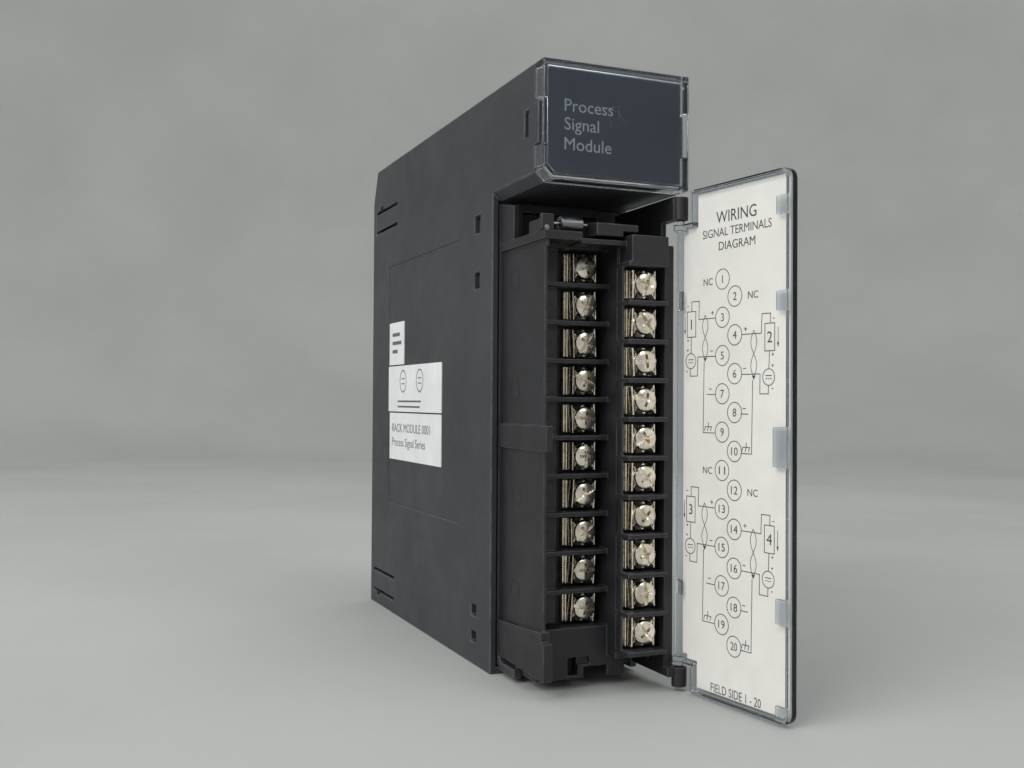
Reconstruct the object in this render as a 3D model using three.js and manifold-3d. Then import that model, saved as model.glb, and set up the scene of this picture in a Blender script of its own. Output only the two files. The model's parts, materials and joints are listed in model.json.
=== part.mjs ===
// A plug-in input/output module for an industrial controller rack, in millimetres, +Z up.
// Origin: centre of the underside of the main box. +X is the module's right, -Y its front.
// The terminal door stands open; door parts are drawn in their closed place and turned with their group.
import * as THREE from "three";
import { mergeVertices } from "three/addons/utils/BufferGeometryUtils.js";
import Module from "manifold-3d";

const wasm = await Module();
wasm.setup();

// ---- driving dimensions -------------------------------------------------------------------------
const WIDTH = 34;
const HEIGHT = 130;
const BOX_DEPTH = 97.7;
const WALL = 1.6;
const GAP = 0.3;

const NOSE_REACH = 27.2; // indicator nose, ahead of the box
const NOSE_BOTTOM = 105.5;
const NOSE_WALL = 3;
const NOSE_CHAMFER = 2; // along the lower left edge only

const LENS_THICK = 1.2;
const LENS_SKIRT = 4.4;
const LENS_NOTCH = [112.9, 122.3];
const INSERT_PLATE = { face: NOSE_REACH - LENS_THICK - 0.4, thick: 0.9 };

const ROWS = 10;
const PITCH = 8.12; // between terminals of one column
const LOW_TIER = { deck: 12, ribFront: 17.8, screwX: -1.4, topZ: 89.6 };
const HIGH_TIER = { deck: 21.6, ribFront: 27, screwX: 7.9, topZ: 89.6 - PITCH / 2 };
const RIB_THICK = 1;
const SCREW_HEAD_R = 2.55;
const SCREW_SHANK_R = 1.25;

const BLOCK_LEFT = -15.5;
const BLOCK_RIGHT = 15;
const BLOCK_BACK = 1.2; // ahead of the box front
const BLOCK_BOTTOM = 4.5;
const SHELF = [93.9, 95.8];

const HINGE_X = 15.4;
const HINGE_AHEAD = 26.6;
const DOOR_OPEN_DEG = 97.5;
const DOOR = { hingeSide: 1.06, freeSide: -31.9, bottom: 0.5, top: 105.2, outer: -2, inner: 0.4 };
const DOOR_PLATE = 0.8;
const DOOR_NOTCH = { x: -3.5, low: 5.9, high: 98.4 };
const DOOR_PIN_R = 0.8;

// The bar that the terminal block hooks over and turns on.
const PIVOT = { ahead: 8, z: 2.7, r: 0.95, reach: 14 };

const front = -BOX_DEPTH / 2;
const ahead = (d) => front - d; // y of a plane d in front of the box
const behind = (d) => front + d; // y of a plane d inside the box

const LEVER = { y: ahead(10), z: 97.4, pinR: 0.9 };
const ROLLER = { y: ahead(20.5), z: 97.8, r: 1.6, pinR: 0.4 };
const RIVET = { x: -14.2, z: 96.45, r: 0.3, headR: 0.55 };

// ---- solids ------------------------------------------------------------------------------------
function solid(geometry) {
  const bare = geometry.index ? geometry.clone() : geometry;
  bare.deleteAttribute("normal");
  bare.deleteAttribute("uv");
  const merged = mergeVertices(bare, 1e-4);
  return new wasm.Manifold(
    new wasm.Mesh({
      numProp: 3,
      vertProperties: new Float32Array(merged.attributes.position.array),
      triVerts: new Uint32Array(merged.index.array),
    }),
  );
}

function box(x0, x1, y0, y1, z0, z1) {
  const g = new THREE.BoxGeometry(Math.abs(x1 - x0), Math.abs(y1 - y0), Math.abs(z1 - z0));
  g.translate((x0 + x1) / 2, (y0 + y1) / 2, (z0 + z1) / 2);
  return solid(g);
}

// A straight-sided outline pushed from one value of an axis to another.
// Its points are [y, z] along X and [x, z] along Y.
function prism(points, axis, from, to) {
  const shape = new THREE.Shape(points.map(([a, b]) => new THREE.Vector2(a, b)));
  const g = new THREE.ExtrudeGeometry(shape, { depth: to - from, bevelEnabled: false });
  if (axis === "X") g.rotateX(Math.PI / 2).rotateZ(Math.PI / 2).translate(from, 0, 0);
  if (axis === "Y") g.rotateX(Math.PI / 2).translate(0, to, 0);
  return solid(g);
}

function rod(axis, r, from, to, a, b, sides = 16) {
  const g = new THREE.CylinderGeometry(r, r, to - from, sides);
  const middle = (from + to) / 2;
  if (axis === "X") g.rotateZ(Math.PI / 2).translate(middle, a, b);
  if (axis === "Y") g.translate(a, middle, b);
  if (axis === "Z") g.rotateX(Math.PI / 2).translate(a, b, middle);
  return solid(g);
}

const join = (first, ...rest) => rest.reduce((sum, s) => sum.add(s), first);
const cut = (first, ...rest) => rest.reduce((sum, s) => sum.subtract(s), first);

function toGeometry(manifold) {
  const m = manifold.getMesh();
  const position = new Float32Array(m.numVert * 3);
  for (let i = 0; i < m.numVert; i++) {
    position.set(m.vertProperties.subarray(i * m.numProp, i * m.numProp + 3), i * 3);
  }
  const g = new THREE.BufferGeometry();
  g.setAttribute("position", new THREE.BufferAttribute(position, 3));
  g.setIndex(new THREE.BufferAttribute(new Uint32Array(m.triVerts), 1));
  return g;
}

// ---- materials ---------------------------------------------------------------------------------
const finish = (color, roughness, metalness) => ({ color, roughness, metalness });
const CASE = finish(0x44474a, 0.62, 0);
const BLOCK = finish(0x1f2022, 0.5, 0);
const CLEAR = finish(0xc9d6dc, 0.12, 0);
const INSERT = finish(0x3a4048, 0.45, 0);
const PAPER = finish(0xe3e0d8, 0.75, 0);
const NICKEL = finish(0xb9b09c, 0.3, 1);
const STEEL = finish(0x9fa2a6, 0.32, 1);
const BOARD = finish(0x1f5a38, 0.5, 0);
const CONNECTOR = finish(0x2a2b2d, 0.55, 0);
const CHIP = finish(0x18191b, 0.45, 0);
const CORE = finish(0x4b4038, 0.6, 0);
const LED = finish(0x9fd6a8, 0.25, 0);

const module = new THREE.Group();
const block = new THREE.Group();
const door = new THREE.Group();
door.position.set(HINGE_X, ahead(HINGE_AHEAD), 0);
door.rotation.z = THREE.MathUtils.degToRad(DOOR_OPEN_DEG);
module.add(block, door);

function place(group, name, manifold, look) {
  const mesh = new THREE.Mesh(toGeometry(manifold), new THREE.MeshStandardMaterial(look));
  mesh.name = name;
  group.add(mesh);
}

// ---- housing -----------------------------------------------------------------------------------
const half = WIDTH / 2;
const inside = half - WALL;
const CHAMFER_LOW = 120.4; // rear top corner is cut off from here up
const CHAMFER_RUN = 4.3;
const CHAMFER_DROP = 2.6; // the hollow's own chamfer starts this much lower

function noseOutline(x, low, high, chamfer) {
  return [
    [-x + chamfer, low],
    [x, low],
    [x, high],
    [-x, high],
    [-x, low + chamfer],
  ];
}

const SIDE_SLOTS = [
  // [near, far, low, high]: distances behind the box front, and heights
  [7.7, 11.3, 99.6, 103.6],
  [7.7, 11.3, 86.7, 90.4],
  [8.8, 12, 11.2, 13.8],
  [8.8, 12, 5.2, 7.7],
];

// A C-shaped slit frees a springy tongue in the side wall.
function tongueSlit(side, near, far, low, high, notchUp) {
  const slit = 0.8;
  const notch = 1.6;
  const x0 = side * (inside - 1);
  const x1 = side * (half + 1);
  const notchZ = notchUp ? [high, high + notch] : [low - notch, low];
  return join(
    box(x0, x1, behind(near), behind(far), low - slit / 2, low + slit / 2),
    box(x0, x1, behind(near), behind(far), high - slit / 2, high + slit / 2),
    box(x0, x1, behind(far - slit), behind(far), low, high),
    box(x0, x1, behind(far - 7), behind(far - 4), notchZ[0], notchZ[1]),
  );
}

const VENT = { first: 12, last: 84, pitch: 8, width: 2.4, reach: 11.5, clearMiddle: 9, clearRear: 68 };

// Cooling slots through the top or the underside. The underside keeps its middle and its lever clear.
function ventRow(z0, z1, underside) {
  const slots = [];
  for (let d = VENT.first; d <= VENT.last; d += VENT.pitch) {
    const y = behind(d);
    if (underside && (Math.abs(y) < VENT.clearMiddle || d > VENT.clearRear)) continue;
    slots.push(box(-VENT.reach, VENT.reach, y - VENT.width / 2, y + VENT.width / 2, z0, z1));
  }
  return slots;
}

const LEVER_SLOT = { x: 7, near: 74, far: 95.7 };
const LEVER_AXIS = { y: behind(79), z: 3.2, axleR: 0.85, hubR: 1.9 };
const LUG = { thick: 1.7, half: 2.5, top: 5.6 };
const LABEL_RECESS = { near: 21, far: 80.8, low: 31.2, high: 99.7, depth: 0.25 };
const SNAP_SLOT = { near: 17.5, far: 19.7, low: 115.6, high: 121.1, depth: 1.2 }; // in the nose's sides
const BOARD_RAIL = { near: 8, far: 82, heights: [24, 108], reach: 1.8, thick: 1.6 };

function mainBox() {
  const outer = prism(
    [
      [front, 0],
      [-front, 0],
      [-front, CHAMFER_LOW],
      [-front - CHAMFER_RUN, HEIGHT],
      [front, HEIGHT],
    ],
    "X",
    -half,
    half,
  );
  const hollow = prism(
    [
      [ahead(1), WALL],
      [-front + 1, WALL],
      [-front + 1, CHAMFER_LOW - CHAMFER_DROP],
      [-front - WALL, CHAMFER_LOW - CHAMFER_DROP],
      [-front - CHAMFER_RUN - WALL, HEIGHT - WALL],
      [ahead(1), HEIGHT - WALL],
    ],
    "X",
    -inside,
    inside,
  );
  return cut(outer, hollow);
}

function nose() {
  const end = INSERT_PLATE.face - INSERT_PLATE.thick - 0.2;
  const overlap = 1.2; // how far the nose runs back into the box
  const floor = 2;
  const profile = noseOutline(half, NOSE_BOTTOM, HEIGHT, NOSE_CHAMFER);
  const outer = prism(profile, "Y", ahead(end), behind(overlap));
  const hollow = prism(
    noseOutline(half - NOSE_WALL, NOSE_BOTTOM + floor, HEIGHT - NOSE_WALL, 1),
    "Y",
    ahead(NOSE_REACH),
    behind(overlap + 1),
  );
  const skirtEnd = NOSE_REACH - LENS_SKIRT - GAP;
  const step = LENS_THICK + GAP;
  const sleeve = prism(
    noseOutline(half - step, NOSE_BOTTOM + step, HEIGHT - step, NOSE_CHAMFER),
    "Y",
    ahead(NOSE_REACH + 1),
    ahead(skirtEnd - 1),
  );
  const tongues = [-1, 1].map((side) =>
    box(
      side * (half - step - 0.1),
      side * (half + 2),
      ahead(skirtEnd - 1),
      ahead(end),
      LENS_NOTCH[0] + GAP,
      LENS_NOTCH[1] - GAP,
    ),
  );
  const skirtSpace = cut(
    box(-half - 1, half + 1, ahead(skirtEnd), ahead(NOSE_REACH), NOSE_BOTTOM - 1, HEIGHT + 1),
    sleeve,
    ...tongues,
  );
  return cut(outer, hollow, skirtSpace);
}

function housingShell() {
  const cuts = [];
  for (const side of [-1, 1]) {
    for (const [near, far, low, high] of SIDE_SLOTS) {
      cuts.push(box(side * (inside - 1), side * (half + 1), behind(near), behind(far), low, high));
    }
    cuts.push(
      box(
        side * (half - SNAP_SLOT.depth),
        side * (half + 1),
        ahead(SNAP_SLOT.far),
        ahead(SNAP_SLOT.near),
        SNAP_SLOT.low,
        SNAP_SLOT.high,
      ),
    );
    cuts.push(tongueSlit(side, 73.3, 95, 111.5, 117.3, true));
    cuts.push(tongueSlit(side, 74, 95.5, 4, 10, false));
  }
  const labelRecess = box(
    -half - 1,
    -half + LABEL_RECESS.depth,
    behind(LABEL_RECESS.near),
    behind(LABEL_RECESS.far),
    LABEL_RECESS.low,
    LABEL_RECESS.high,
  );
  const lugs = [-1, 1].map((side) =>
    cut(
      box(
        side * (LEVER_SLOT.x + GAP),
        side * (LEVER_SLOT.x + GAP + LUG.thick),
        LEVER_AXIS.y - LUG.half,
        LEVER_AXIS.y + LUG.half,
        WALL - 0.5,
        LUG.top,
      ),
      rod("X", LEVER_AXIS.axleR + GAP, -half, half, LEVER_AXIS.y, LEVER_AXIS.z, 20),
    ),
  );
  const leverSlot = box(
    -LEVER_SLOT.x,
    LEVER_SLOT.x,
    behind(LEVER_SLOT.near),
    behind(LEVER_SLOT.far),
    -1,
    WALL + 1,
  );
  const boardRails = BOARD_RAIL.heights.map((z) =>
    box(
      -inside - 0.2,
      -inside + BOARD_RAIL.reach,
      behind(BOARD_RAIL.near),
      behind(BOARD_RAIL.far),
      z,
      z + BOARD_RAIL.thick,
    ),
  );
  const shell = cut(
    join(mainBox(), nose()),
    leverSlot,
    labelRecess,
    ...cuts,
    ...ventRow(HEIGHT - WALL - 1, HEIGHT + 1, false),
    ...ventRow(-1, WALL + 1, true),
  );
  return join(shell, ...lugs, ...boardRails);
}

place(module, "housing_shell", housingShell(), CASE);

// ---- lens and indicators -----------------------------------------------------------------------
function lensCover() {
  const outer = prism(
    noseOutline(half, NOSE_BOTTOM, HEIGHT, NOSE_CHAMFER),
    "Y",
    ahead(NOSE_REACH),
    ahead(NOSE_REACH - LENS_SKIRT),
  );
  const inner = prism(
    noseOutline(half - LENS_THICK, NOSE_BOTTOM + LENS_THICK, HEIGHT - LENS_THICK, NOSE_CHAMFER),
    "Y",
    ahead(NOSE_REACH - LENS_THICK),
    ahead(NOSE_REACH - LENS_SKIRT - 1),
  );
  const notches = [-1, 1].map((side) =>
    box(
      side * (half - LENS_THICK - 0.5),
      side * (half + 1),
      ahead(NOSE_REACH - LENS_SKIRT - 1),
      ahead(NOSE_REACH - LENS_THICK - 0.2),
      LENS_NOTCH[0],
      LENS_NOTCH[1],
    ),
  );
  return cut(outer, inner, ...notches);
}

place(module, "lens_cover", lensCover(), CLEAR);

const INDICATOR_BOARD = { face: 18.2, thick: 1.6, half: 12.5, low: 110, high: 126 };
const LED_X = 9.5;
const LED_R = { base: 1.5, tip: 0.95 };
const LEDS = { status_led_upper: 122.6, status_led_lower: 116.6 };

function lensInsert() {
  const inset = LENS_THICK + GAP;
  const outline = noseOutline(half - inset, NOSE_BOTTOM + inset, HEIGHT - inset, NOSE_CHAMFER);
  return prism(outline, "Y", ahead(INSERT_PLATE.face), ahead(INSERT_PLATE.face - INSERT_PLATE.thick));
}

function indicatorBoard() {
  const { face, thick, half: reach, low, high } = INDICATOR_BOARD;
  return box(-reach, reach, ahead(face), ahead(face - thick), low, high);
}

function statusLed(z) {
  const baseLength = 3;
  const board = INDICATOR_BOARD.face;
  const base = rod("Y", LED_R.base, ahead(board + baseLength), ahead(board + GAP), LED_X, z);
  const tip = rod("Y", LED_R.tip, ahead(INSERT_PLATE.face - 1.6), ahead(board + 1), LED_X, z);
  return join(base, tip);
}

place(module, "lens_insert", lensInsert(), INSERT);
place(module, "indicator_board", indicatorBoard(), BOARD);
for (const [name, z] of Object.entries(LEDS)) {
  place(module, name, statusLed(z), LED);
}

// ---- front bezel -------------------------------------------------------------------------------
const BEZEL = { face: 0.4, back: 3 };
const BEZEL_WINDOW = { x: 9.3, low: 11, high: 103.5 };
const LIP = { low: 1, high: 3, stem: 1.3, root: 4, inner: 13.3 };
const SNAP = { thick: 1.5, play: 0.4, hookRoot: 0.5, recess: 1.1 };

function frontBezel() {
  const side = inside - GAP;
  const plate = box(-side, side, behind(BEZEL.face), behind(BEZEL.back), WALL + GAP, NOSE_BOTTOM - GAP);
  const window = box(
    -BEZEL_WINDOW.x,
    BEZEL_WINDOW.x,
    ahead(1),
    behind(BEZEL.back + 1),
    BEZEL_WINDOW.low,
    BEZEL_WINDOW.high,
  );
  const lips = [-1, 1].map((s) =>
    box(s * LIP.inner, s * side, ahead(PIVOT.ahead + 1.2), ahead(GAP), LIP.low, LIP.high),
  );
  const lipStem = box(-side, side, ahead(LIP.stem), ahead(GAP), LIP.high - 1, LIP.root);
  const lipRoot = box(-side, side, ahead(1), behind(1), WALL + GAP, LIP.root);
  const bar = rod("X", PIVOT.r, -PIVOT.reach, PIVOT.reach, ahead(PIVOT.ahead), PIVOT.z, 20);
  const tabs = [];
  for (const s of [-1, 1]) {
    for (const [near, far, low, high] of SIDE_SLOTS) {
      const tip = behind(far - GAP);
      const z0 = low + SNAP.play;
      const z1 = high - SNAP.play;
      tabs.push(box(s * (side - SNAP.thick), s * side, behind(BEZEL.back - 1), tip, z0, z1));
      const hookNear = behind(near + SNAP.play);
      tabs.push(box(s * (side - SNAP.hookRoot), s * (half - SNAP.recess), hookNear, tip, z0, z1));
    }
  }
  const frame = cut(plate, window);
  return join(frame, ...lips, lipStem, lipRoot, bar, ...tabs);
}

place(module, "front_bezel", frontBezel(), CASE);

// ---- electronics -------------------------------------------------------------------------------
const BOARD_X = -13.3; // the main board stands upright beside the left wall
const BOARD_FACE = BOARD_X + 1.6;
const MOUNTED = BOARD_FACE + GAP; // where the parts on the board start

place(module, "circuit_board", box(BOARD_X, BOARD_FACE, behind(7.6), behind(85), 16, 120), BOARD);

const CONTACT_X = [-3.5, 3.5]; // the two columns of plug-in contacts
const HEADER = { right: 9, near: 7.6, far: 13.4, low: 13.5, high: 92 };
const BLADE = { tip: 3.4, halfThick: 0.4, halfHigh: 1, belowScrew: 4 };

function terminalHeader() {
  const { right, near, far, low, high } = HEADER;
  const parts = [box(MOUNTED, right, behind(near), behind(far), low, high)];
  for (const x of CONTACT_X) {
    for (let i = 0; i < ROWS; i++) {
      const z = LOW_TIER.topZ - BLADE.belowScrew - i * PITCH;
      parts.push(
        box(
          x - BLADE.halfThick,
          x + BLADE.halfThick,
          behind(BLADE.tip),
          behind(near + 1),
          z - BLADE.halfHigh,
          z + BLADE.halfHigh,
        ),
      );
    }
  }
  return join(...parts);
}

place(module, "terminal_header", terminalHeader(), CONNECTOR);

const REAR_PLUG = { right: 6, near: 83, far: 97.2, low: 36, high: 98, floor: 88 };
const REAR_PLUG_WALL = { side: 1.5, end: 2 };
const KEY_BLADE = { left: -3.6, right: -1.9, far: 95.5, low: 40, high: 94 };

function backplaneConnector() {
  const shellBody = box(
    MOUNTED,
    REAR_PLUG.right,
    behind(REAR_PLUG.near),
    behind(REAR_PLUG.far),
    REAR_PLUG.low,
    REAR_PLUG.high,
  );
  const mouth = box(
    MOUNTED + REAR_PLUG_WALL.side,
    REAR_PLUG.right - REAR_PLUG_WALL.side,
    behind(REAR_PLUG.floor),
    behind(REAR_PLUG.far + 1),
    REAR_PLUG.low + REAR_PLUG_WALL.end,
    REAR_PLUG.high - REAR_PLUG_WALL.end,
  );
  const keyBlade = box(
    KEY_BLADE.left,
    KEY_BLADE.right,
    behind(REAR_PLUG.floor - 1),
    behind(KEY_BLADE.far),
    KEY_BLADE.low,
    KEY_BLADE.high,
  );
  return join(cut(shellBody, mouth), keyBlade);
}

place(module, "backplane_connector", backplaneConnector(), CONNECTOR);

const TRANSFORMER = {
  count: 4,
  first: 30,
  pitch: 20,
  high: 14,
  flange: 3,
  near: 24,
  far: 38,
  right: -1,
  coilR: 4.2,
};

// A coil between two flanges, with its axis upright.
function transformer(z) {
  const { high, flange, near, far, right, coilR } = TRANSFORMER;
  const coilX = (MOUNTED + right) / 2 + GAP;
  return join(
    box(MOUNTED, right, behind(near), behind(far), z, z + flange),
    box(MOUNTED, right, behind(near), behind(far), z + high - flange, z + high),
    rod("Z", coilR, z + 1, z + high - 1, coilX, behind((near + far) / 2), 20),
  );
}

for (let i = 0; i < TRANSFORMER.count; i++) {
  const z = TRANSFORMER.first + i * TRANSFORMER.pitch;
  place(module, `isolation_transformer_${i + 1}`, transformer(z), CORE);
}

const CHIP_THICK = 2.5;
const chip = (near, far, low, high) =>
  box(MOUNTED, MOUNTED + CHIP_THICK, behind(near), behind(far), low, high);
const CAPACITOR = { r: 4, long: 10.9, back: 56, z: 100 };

place(module, "processor_chip", chip(50, 66, 60, 76), CHIP);
place(module, "output_driver_chip", chip(50, 60, 34, 48), CHIP);
place(
  module,
  "supply_capacitor",
  rod("X", CAPACITOR.r, MOUNTED, MOUNTED + CAPACITOR.long, behind(CAPACITOR.back), CAPACITOR.z, 24),
  STEEL,
);

// ---- rear --------------------------------------------------------------------------------------
const CAP_THICK = 1.8;
const HOOK_POCKET = { inner: 4.5, outer: 10.5, low: 110, high: 113 };

function rearCap() {
  const side = inside - GAP;
  const play = 0.4;
  const near = behind(BOX_DEPTH - CAP_THICK - 1);
  const far = behind(BOX_DEPTH + 1);
  const top = CHAMFER_LOW - CHAMFER_DROP - GAP;
  const plate = box(-side, side, behind(BOX_DEPTH - CAP_THICK), behind(BOX_DEPTH), WALL + GAP, top);
  const connectorWindow = box(
    BOARD_FACE,
    REAR_PLUG.right + play,
    near,
    far,
    REAR_PLUG.low - play,
    REAR_PLUG.high + play,
  );
  const leverNotch = box(-LEVER_SLOT.x - 1, LEVER_SLOT.x + 1, near, far, 0, 7.5);
  const hookPockets = [-1, 1].map((s) =>
    box(s * HOOK_POCKET.inner, s * HOOK_POCKET.outer, near, far, HOOK_POCKET.low, HOOK_POCKET.high),
  );
  return cut(plate, connectorWindow, leverNotch, ...hookPockets);
}

place(module, "rear_cap", rearCap(), CASE);

function releaseLever() {
  const x = LEVER_SLOT.x - GAP;
  const y0 = behind(LEVER_SLOT.near + 0.5);
  const y1 = behind(LEVER_SLOT.far - GAP);
  const plate = prism(
    [
      [y0, 1.1],
      [LEVER_AXIS.y, 0.2],
      [y1, 0.2],
      [y1, 1.8],
      [LEVER_AXIS.y + 3, 2.4],
      [LEVER_AXIS.y - 2, 3.4],
      [y0, 2.6],
    ],
    "X",
    -x,
    x,
  );
  const axleReach = LEVER_SLOT.x + LUG.thick + 0.2;
  const hub = rod("X", LEVER_AXIS.hubR, -x, x, LEVER_AXIS.y, LEVER_AXIS.z, 20);
  const axle = rod("X", LEVER_AXIS.axleR, -axleReach, axleReach, LEVER_AXIS.y, LEVER_AXIS.z, 20);
  const hook = box(-4, 4, y1 - 2.2, y1, 1, 4.2);
  return join(plate, hub, axle, hook);
}

place(module, "release_lever", releaseLever(), CASE);

// ---- side labels -------------------------------------------------------------------------------
const LABEL_X = [-half + 0.02, -half + 0.22];
const SIDE_LABELS = {
  // [near, far, low, high]: distances behind the box front, and heights
  side_label_small: [65.7, 79.7, 70.9, 83],
  side_label_upper: [33.8, 80.3, 57.6, 70.5],
  side_label_lower: [33.8, 79, 44, 57.2],
};
for (const [name, [near, far, low, high]] of Object.entries(SIDE_LABELS)) {
  place(module, name, box(LABEL_X[0], LABEL_X[1], behind(near), behind(far), low, high), PAPER);
}

// ---- terminal block ----------------------------------------------------------------------------
const STEP_X = 2.9; // the high tier starts here
const HIGH_END = 12.3;
const WALL_IN = -14; // inner face of the left wall
const BLOCK_TOP = 94;
const SHELF_REACH = 24.5;
const DARK_GAP = 0.4; // recess of the left wall under the shelf bar
const LEFT_WALL = { x: BLOCK_LEFT + 0.8, reach: 23.2, low: 13 };
const MID_RIB = { low: 50.5, high: 55.8, reach: 26 };
const LEFT_BRACKET = { reach: 25.2, low: 4, step: 11.8, stepReach: 23.7, top: 13.9, rear: 12.3 };
const EAR = { reach: 8.2, high: 104.6, tip: 103.3, low: 95 };
const LEDGE = { right: -8.5, reach: 16.2, low: 14 };
const STEP_LIP = { thick: 0.5, reach: 24, low: 8, high: 90 };
const RIGHT_WALL = { bodyReach: 19.5, reach: 25.6, low: 8 };
const RIGHT_EAR = { left: 13.2, right: 14.4, reach: 22.5, low: 92 };
const TOP_END = { left: 3.5, near: 20, low: 89.5, high: 95.6 };
const LOW_END_TOP = 12.8;
const POST = { r: 1.6, low: 0.9, high: 104.2, play: 0.9, armBack: 0.7, armLow: 3.1 };
const LEVER_LUGS = [
  [-5.3, -3.9],
  [3.2, 4.6],
];
const LUG_HALF = 2.4;
const FOOT = { low: 2.2, back: 15.3, archLeft: -2.6, archRight: 2.9, right: 7.2 };
const FOOT_POCKET = { left: -6.4, right: -4, low: 2.9, high: 6.7, deep: 3 };
const FOOT_STEP = { right: -1.3, low: 5.1, deep: 1 };
const TAB = { left: -15.2, right: -12.4, front: 22.7, back: 21.5, top: 99.4 };
const TAB_LUG = { back: 15.8, top: 98.5 };
const SOCKET = { x: 8.2, low: 14.5, high: 90.5, back: 5.6, rear: 5.4 };
const HOOKS = [
  [-11, -7],
  [7, 11],
];
const HOOK_WALL = 1.5;

const rowZ = (tier, i) => tier.topZ - i * PITCH;

function barriers(tier, x0, x1) {
  const ribs = [];
  for (let i = 0; i <= ROWS; i++) {
    const z = tier.topZ + PITCH / 2 - i * PITCH;
    ribs.push(box(x0, x1, ahead(tier.deck - 1), ahead(tier.ribFront), z - RIB_THICK / 2, z + RIB_THICK / 2));
  }
  return ribs;
}

function screwHoles(tier) {
  const r = SCREW_SHANK_R + GAP;
  const holes = [];
  for (let i = 0; i < ROWS; i++) {
    holes.push(rod("Y", r, ahead(tier.deck + 1), ahead(tier.deck - 4), tier.screwX, rowZ(tier, i), 8));
  }
  return holes;
}

// A hook, open underneath, that sits on the pivot bar.
function hookOver(x0, x1) {
  const y = ahead(PIVOT.ahead);
  const r = PIVOT.r + HOOK_WALL;
  const outer = join(
    rod("X", r, x0, x1, y, PIVOT.z, 24),
    box(x0, x1, y - r, y + r, PIVOT.z, BLOCK_BOTTOM + 1.5),
  );
  const inner = rod("X", PIVOT.r + GAP, x0 - 1, x1 + 1, y, PIVOT.z, 24);
  const under = box(x0 - 1, x1 + 1, y - 2 * r, y + 2 * r, PIVOT.z - 2 * r, PIVOT.z + 0.15);
  return cut(outer, inner, under);
}

// The left wall with its ear, shelf bar, middle rib and bottom bracket.
function leftSide() {
  const { reach, low, step, stepReach, top, rear } = LEFT_BRACKET;
  const wallTop = SHELF[0] - DARK_GAP;
  const back = ahead(BLOCK_BACK);
  const bracket = prism(
    [
      [back, BLOCK_BOTTOM],
      [ahead(reach), low],
      [ahead(reach), step],
      [ahead(stepReach), step],
      [ahead(stepReach), top],
      [back, rear],
    ],
    "X",
    BLOCK_LEFT,
    WALL_IN + 0.6,
  );
  const ear = prism(
    [
      [back, EAR.low],
      [back, EAR.high],
      [ahead(EAR.reach), EAR.tip],
      [ahead(EAR.reach), EAR.low],
    ],
    "X",
    BLOCK_LEFT + 0.2,
    WALL_IN,
  );
  return join(
    box(LEFT_WALL.x, WALL_IN, back, ahead(LEFT_WALL.reach), LEFT_WALL.low, wallTop),
    box(LEFT_WALL.x, WALL_IN, back, ahead(SHELF_REACH - 0.5), wallTop - 1, SHELF[0] + 0.5),
    box(BLOCK_LEFT, -6.7, back, ahead(SHELF_REACH), SHELF[0], SHELF[1]),
    box(BLOCK_LEFT, WALL_IN, back, ahead(MID_RIB.reach), MID_RIB.low, MID_RIB.high),
    bracket,
    ear,
    box(
      TAB.left + 0.1,
      TAB.right,
      ahead(TAB.back - GAP),
      ahead(TAB_LUG.back),
      SHELF[1] - 0.5,
      TAB_LUG.top,
    ),
  );
}

// The floor of both tiers, their side walls and their ends.
function deck() {
  const top = BLOCK_TOP - 0.5;
  const low = ahead(LOW_TIER.deck);
  const high = ahead(HIGH_TIER.deck);
  const back = ahead(BLOCK_BACK);
  return join(
    box(WALL_IN - 0.5, BLOCK_RIGHT, back, low, BLOCK_BOTTOM, BLOCK_TOP),
    box(-7, HIGH_END, back, ahead(SHELF_REACH), top - 0.1, BLOCK_TOP + 0.5),
    box(WALL_IN - 0.2, LEDGE.right, low, ahead(LEDGE.reach), LEDGE.low, top),
    box(STEP_X, HIGH_END, low, high, BLOCK_BOTTOM + 2, top),
    box(STEP_X, STEP_X + STEP_LIP.thick, high - 0.5, ahead(STEP_LIP.reach), STEP_LIP.low, STEP_LIP.high),
    box(HIGH_END - 0.5, BLOCK_RIGHT, low, ahead(RIGHT_WALL.bodyReach), BLOCK_BOTTOM + 1, BLOCK_TOP),
    box(HIGH_END - 0.1, RIGHT_EAR.right, low, ahead(RIGHT_WALL.reach), RIGHT_WALL.low, BLOCK_TOP),
    box(TOP_END.left, HIGH_END, ahead(TOP_END.near), ahead(HIGH_TIER.ribFront), TOP_END.low, TOP_END.high),
    box(WALL_IN - 0.3, STEP_X + 0.3, low, ahead(LOW_TIER.ribFront), BLOCK_BOTTOM, LOW_END_TOP),
  );
}

// The right-hand arms, which end in the two round posts that carry the door's pins.
function doorPosts() {
  const armFront = ahead(HINGE_AHEAD + POST.armBack);
  const lowTop = DOOR_NOTCH.low - POST.play;
  const highBottom = DOOR_NOTCH.high + POST.play;
  const y = ahead(HINGE_AHEAD);
  const root = ahead(LOW_TIER.deck);
  return join(
    rod("Z", POST.r, POST.low, lowTop, HINGE_X, y, 24),
    rod("Z", POST.r, highBottom, POST.high, HINGE_X, y, 24),
    box(HIGH_END - 0.1, HINGE_X, ahead(18), armFront, POST.armLow, lowTop),
    box(HIGH_END - 0.1, RIGHT_EAR.right, root, ahead(RIGHT_WALL.reach), POST.armLow, RIGHT_WALL.low + 1),
    box(RIGHT_EAR.left, RIGHT_EAR.right, ahead(BLOCK_BACK), ahead(RIGHT_EAR.reach), RIGHT_EAR.low, POST.high),
    box(RIGHT_EAR.left, HINGE_X, ahead(21), armFront, highBottom, POST.high),
  );
}

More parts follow.
